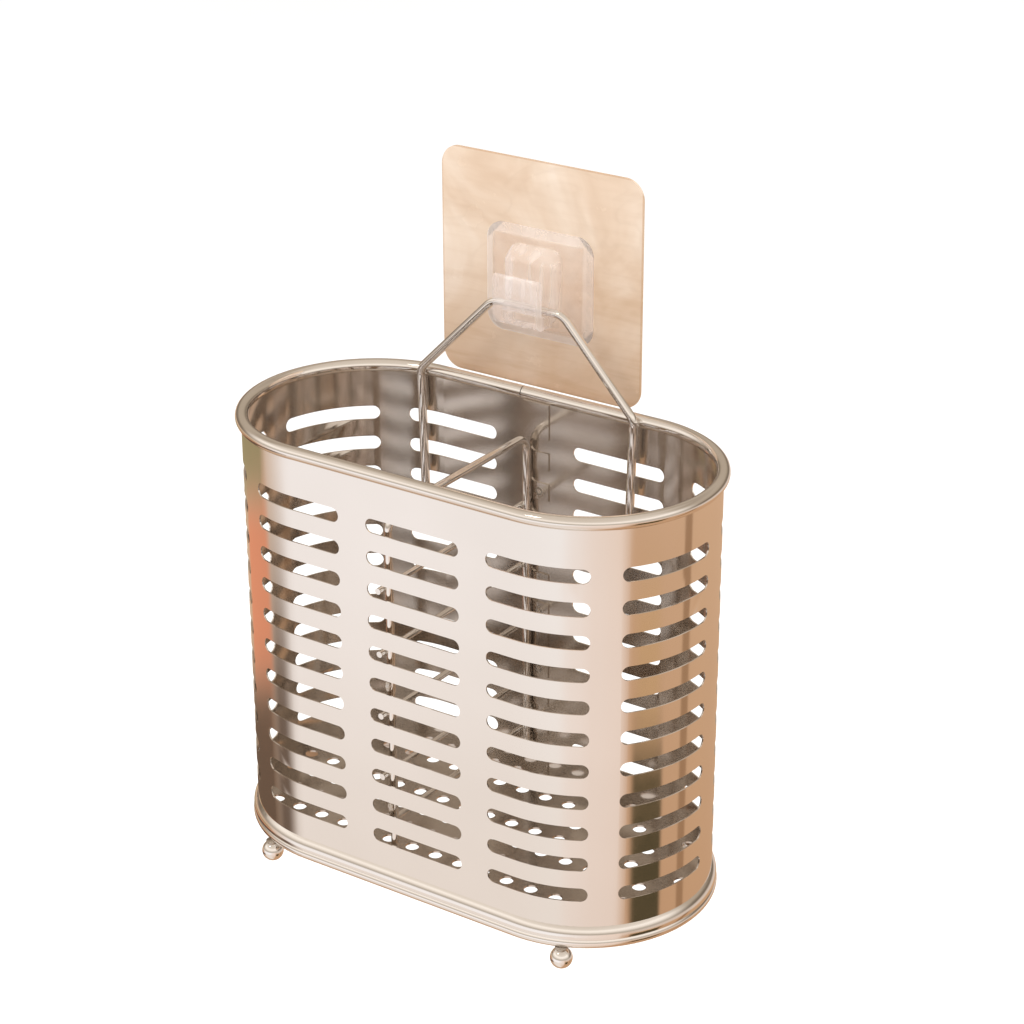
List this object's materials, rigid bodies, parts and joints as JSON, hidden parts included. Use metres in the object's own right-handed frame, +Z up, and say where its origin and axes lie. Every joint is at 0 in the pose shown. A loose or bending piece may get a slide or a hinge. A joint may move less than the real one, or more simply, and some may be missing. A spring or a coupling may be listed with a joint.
{
  "type": "wall-mounted cutlery rack",
  "caption": "Obround slotted steel cutlery basket with a rolled rim, perforated base on ball feet, a wire divider, and a wire hanger on a clear adhesive wall hook.",
  "frame": {"origin": "centre of the adhesive pad's back face, on the wall", "axes": "+Z up, +Y into the wall, +X to the right seen from in front"},
  "size_m": [0.1644, 0.0873, 0.223],
  "materials": {
    "sheet_steel": "satin, fine vertical grain",
    "floor_steel": "satin",
    "polished_steel": "polished",
    "wire_steel": "polished wire",
    "ball_chrome": "mirror polished",
    "clear_hook": "clear, glossy",
    "clear_film": "translucent, glossy",
    "adhesive": "translucent, tacky"
  },
  "bodies": {
    "wall_mount": {"wall_hook": "clear_hook", "adhesive_pad": "clear_film", "adhesive_layer": "adhesive"},
    "basket": {"wall_sheet": "sheet_steel", "rim_channel": "polished_steel", "base_plate": "floor_steel", "base_ring": "polished_steel", "foot_front_left": "ball_chrome", "foot_front_right": "ball_chrome", "foot_back_left": "ball_chrome", "foot_back_right": "ball_chrome", "hanger_wire": "wire_steel", "divider_frame": "wire_steel", "divider_bar_1": "wire_steel", "divider_bar_2": "wire_steel", "divider_bar_3": "wire_steel", "divider_bar_4": "wire_steel", "divider_bar_5": "wire_steel"}
  },
  "joints": [
    {"name": "basket_lift", "type": "slide", "parent": "wall_mount", "child": "basket", "axis": [0, 0, 1], "range_m": [0, 0.018]}
  ]
}
